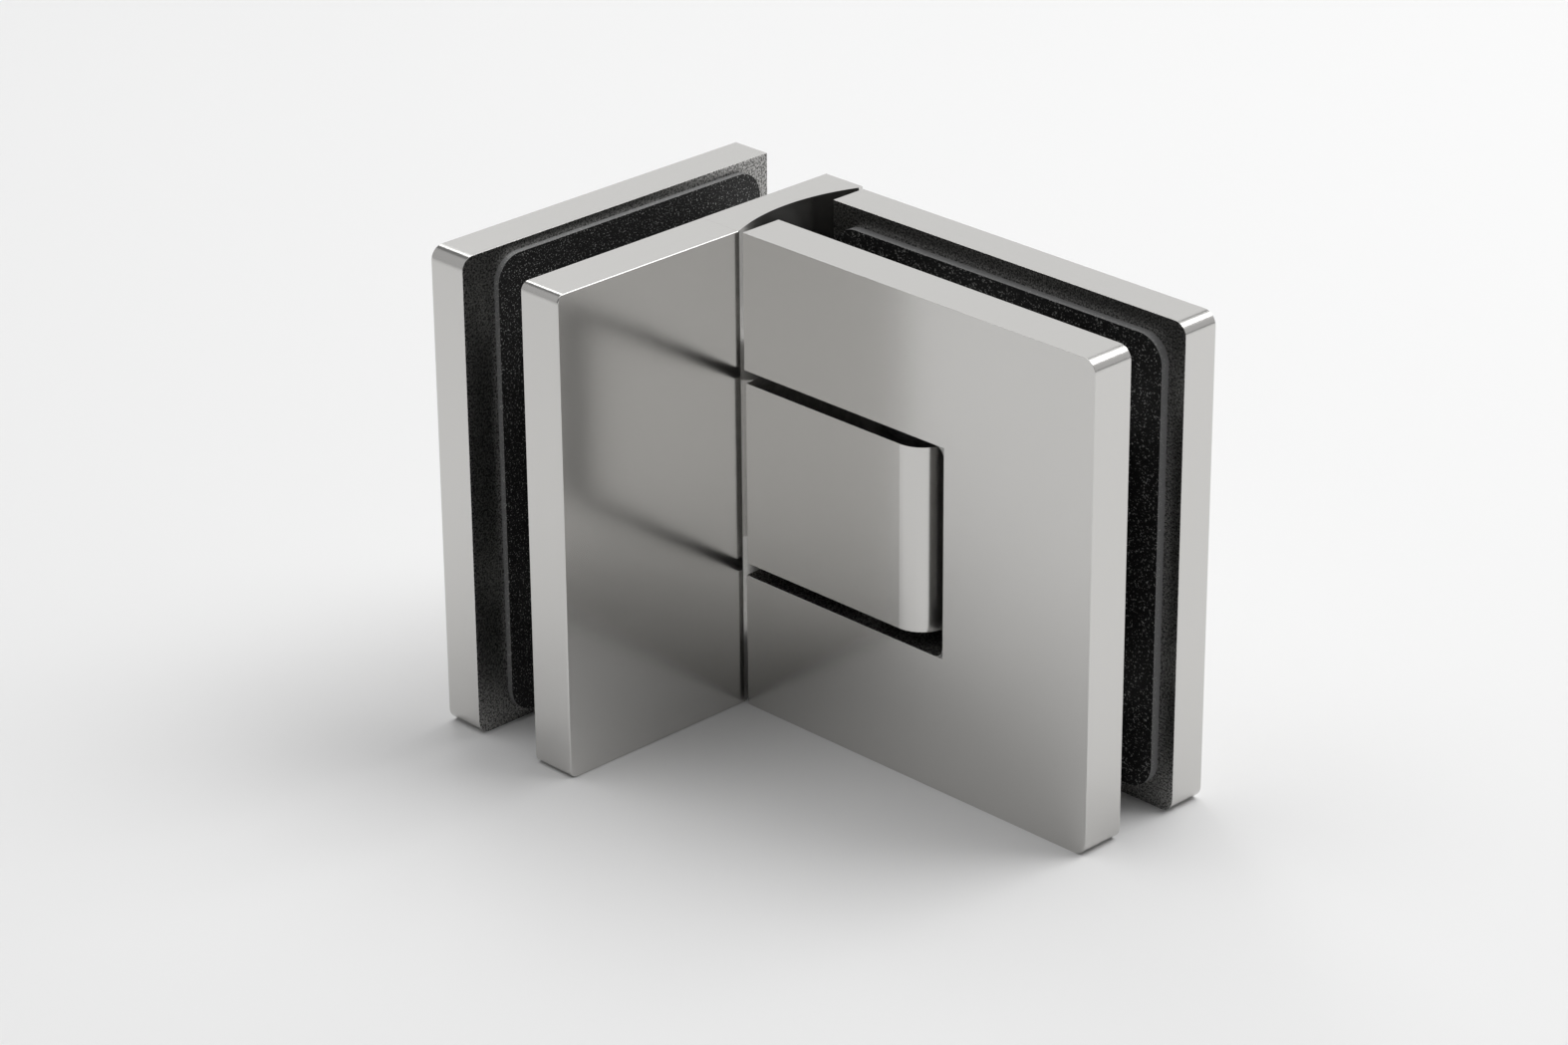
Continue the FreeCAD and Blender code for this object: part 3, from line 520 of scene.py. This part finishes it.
def rubber_material(leaf, rubber):
    """The rubber of one leaf's layers, on both sides of its glass, with painted shade on its faces and
    painted light on its cut edge.
    """
    made, graph, shader = new_material(leaf + "_rubber")
    axis, middle, half_glass = space_between(leaf, "gasket")
    links = {
        "Axis": axis, "Middle": middle, "Half Glass": half_glass, "Scale": 1 / rubber.speck_size,
        # The faces' painted shade and the cut edge's painted light
        "Shaded Face": rgba(rubber.shaded_face_color), "Edge": rgba(rubber.lit_edge_color),
        "Speck": rgba(rubber.speck_color),
    }
    speckle = graph.group("rubber_speckle", links)
    feed(graph, shader, speckle["Color"], speckle["Roughness"], speckle["Height"], *SPECK_BUMP)
    return made


def dress(material, names):
    """Gives pieces their finish and the name of their slot."""
    for name in names:
        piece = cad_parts[name]
        piece.data.materials.clear()
        piece.data.materials.append(material)


def dress_hidden(slot, color, roughness, metallic):
    """Gives the hidden pieces of a slot its grained finish."""
    dress(grained_material(slot, color, roughness, metallic), HIDDEN_FINISHES[slot])


class GLASS_HINGE_OT_plates(bpy.types.Operator):
    """Polishes the plates, the column and the pivot block, with painted shade on the walls of the slots
    and the notch
    """

    bl_idname = "glass_hinge.plates"
    bl_label = "Plates, Column and Block"

    def execute(self, context):
        metal = context.scene.glass_hinge_metal
        mirror = grained_material("mirror_metal", metal.mirror_color, metal.mirror_roughness, 1.0)
        dress(mirror, ("hinge_column", "pivot_block"))
        for leaf in LEAVES:
            dress(plate_material(leaf, metal), both_sides(leaf, "plate"))
        return {"FINISHED"}


class GLASS_HINGE_OT_steel(bpy.types.Operator):
    """Finishes the saddles, the pin and its detent, and the screws"""

    bl_idname = "glass_hinge.steel"
    bl_label = "Hidden Steel"

    def execute(self, context):
        metal = context.scene.glass_hinge_metal
        for slot in ("satin_metal", "pin_steel", "screw_steel"):
            dress_hidden(slot, metal.steel_color, metal.steel_roughness, 1.0)
        dress_hidden("spring_steel", metal.spring_color, metal.steel_roughness, 1.0)
        return {"FINISHED"}


class GLASS_HINGE_OT_plastic(bpy.types.Operator):
    """Finishes the bushes, the thrust washers and the screw sleeves"""

    bl_idname = "glass_hinge.plastic"
    bl_label = "Plastic"

    def execute(self, context):
        plastic = context.scene.glass_hinge_plastic
        dress_hidden("bush_plastic", plastic.bush_color, plastic.bearing_roughness, 0.0)
        dress_hidden("washer_plastic", plastic.washer_color, plastic.bearing_roughness, 0.0)
        dress_hidden("sleeve_plastic", plastic.sleeve_color, plastic.sleeve_roughness, 0.0)
        return {"FINISHED"}


class GLASS_HINGE_OT_rubber(bpy.types.Operator):
    """Finishes the rubber layers in the glass slots, with painted shade on their faces and painted light
    on their cut edges
    """

    bl_idname = "glass_hinge.rubber"
    bl_label = "Rubber"

    def execute(self, context):
        rubber = context.scene.glass_hinge_rubber
        for leaf in LEAVES:
            dress(rubber_material(leaf, rubber), both_sides(leaf, "gasket"))
        return {"FINISHED"}


def add_floor(stage):
    """One square face under the hinge, whose colour the metal and the eye see alike."""
    half = stage.floor_size / 2
    corners = [(-half, -half, 0), (half, -half, 0), (half, half, 0), (-half, half, 0)]
    mesh = bpy.data.meshes.new("floor")
    mesh.from_pydata(corners, [], [(0, 1, 2, 3)])
    floor = bpy.data.objects.new("floor", mesh)
    bpy.context.scene.collection.objects.link(floor)
    made, _, shader = new_material("floor")
    shader.inputs["Base Color"].default_value = rgba(stage.floor_color)
    shader.inputs["Roughness"].default_value = 1.0
    shader.inputs["Specular IOR Level"].default_value = 0.0
    mesh.materials.append(made)


def add_sky(stage):
    """A white sky all round."""
    world = bpy.data.worlds.new("sky")
    bpy.context.scene.world = world
    world.use_nodes = True
    background = world.node_tree.nodes["Background"]
    background.inputs["Color"].default_value = (1.0, 1.0, 1.0, 1.0)
    background.inputs["Strength"].default_value = stage.sky_strength


def towards(azimuth, elevation):
    """The unit vector at an azimuth from the X axis and an elevation, both in radians."""
    level = math.cos(elevation)
    return Vector((level * math.cos(azimuth), level * math.sin(azimuth), math.sin(elevation)))


def add_lamp(stage, name):
    """A square lamp that looks at the hinge's middle and that the camera doesn't see."""
    azimuth, elevation, width, power = LAMPS[name]
    middle = Vector((0, 0, CAD_BOX[1][2] / 2))
    back = towards(math.radians(azimuth), math.radians(elevation))
    lamp = bpy.data.lights.new(name, "AREA")
    lamp.shape = "SQUARE"
    lamp.size = width
    lamp.energy = stage.lamp_strength * power
    piece = bpy.data.objects.new(name, lamp)
    bpy.context.scene.collection.objects.link(piece)
    piece.location = middle + back * stage.lamp_distance
    piece.rotation_mode = "QUATERNION"
    piece.rotation_quaternion = (-back).to_track_quat("-Z", "Y")
    piece.visible_camera = False


def add_camera(stage):
    """The camera at the photograph's viewing angle, from its azimuth, elevation and roll."""
    roll = stage.camera_roll
    back = towards(stage.camera_azimuth, stage.camera_elevation)
    level = towards(stage.camera_azimuth + math.pi / 2, 0)
    upright = back.cross(level)
    right = level * math.cos(roll) + upright * math.sin(roll)
    up = -level * math.sin(roll) + upright * math.cos(roll)
    camera = bpy.data.cameras.new("camera")
    camera.lens = stage.camera_lens
    camera.sensor_width = 36.0
    camera.clip_start = 10 * MM
    piece = bpy.data.objects.new("camera", camera)
    bpy.context.scene.collection.objects.link(piece)
    axes = Matrix((right, up, back)).transposed()
    piece.matrix_world = Matrix.Translation(stage.camera_place) @ axes.to_4x4()
    bpy.context.scene.camera = piece


class GLASS_HINGE_OT_stage(bpy.types.Operator):
    """Makes the floor, the sky, the lamps and the camera"""

    bl_idname = "glass_hinge.stage"
    bl_label = "Stage"

    def execute(self, context):
        stage = context.scene.glass_hinge_stage
        add_floor(stage)
        add_sky(stage)
        for name in LAMPS:
            add_lamp(stage, name)
        add_camera(stage)
        context.scene.view_settings.view_transform = "Standard"
        return {"FINISHED"}


class GLASS_HINGE_PT_parts(bpy.types.Panel):
    """Lists the steps that dress the hinge"""

    bl_idname = "GLASS_HINGE_PT_parts"
    bl_label = "Glass Door Hinge"
    bl_space_type = "VIEW_3D"
    bl_region_type = "UI"
    bl_category = "Glass Hinge"

    def draw(self, context):
        for step in STEPS:
            self.layout.operator(step.bl_idname)


SETTINGS = {
    "glass_hinge_metal": GlassHingeMetal,
    "glass_hinge_plastic": GlassHingePlastic,
    "glass_hinge_rubber": GlassHingeRubber,
    "glass_hinge_stage": GlassHingeStage,
}
STEPS = (
    GLASS_HINGE_OT_plates,
    GLASS_HINGE_OT_steel,
    GLASS_HINGE_OT_plastic,
    GLASS_HINGE_OT_rubber,
    GLASS_HINGE_OT_stage,
)


def register():
    for kind in (*SETTINGS.values(), *STEPS, GLASS_HINGE_PT_parts):
        bpy.utils.register_class(kind)
    for name, kind in SETTINGS.items():
        setattr(bpy.types.Scene, name, PointerProperty(type=kind))


def unregister():
    for name in SETTINGS:
        delattr(bpy.types.Scene, name)
    for kind in (GLASS_HINGE_PT_parts, *reversed(STEPS), *SETTINGS.values()):
        bpy.utils.unregister_class(kind)


def main():
    """Runs every step in order."""
    register()
    for step in STEPS:
        space, name = step.bl_idname.split(".")
        getattr(getattr(bpy.ops, space), name)()


if __name__ == "__main__":
    main()
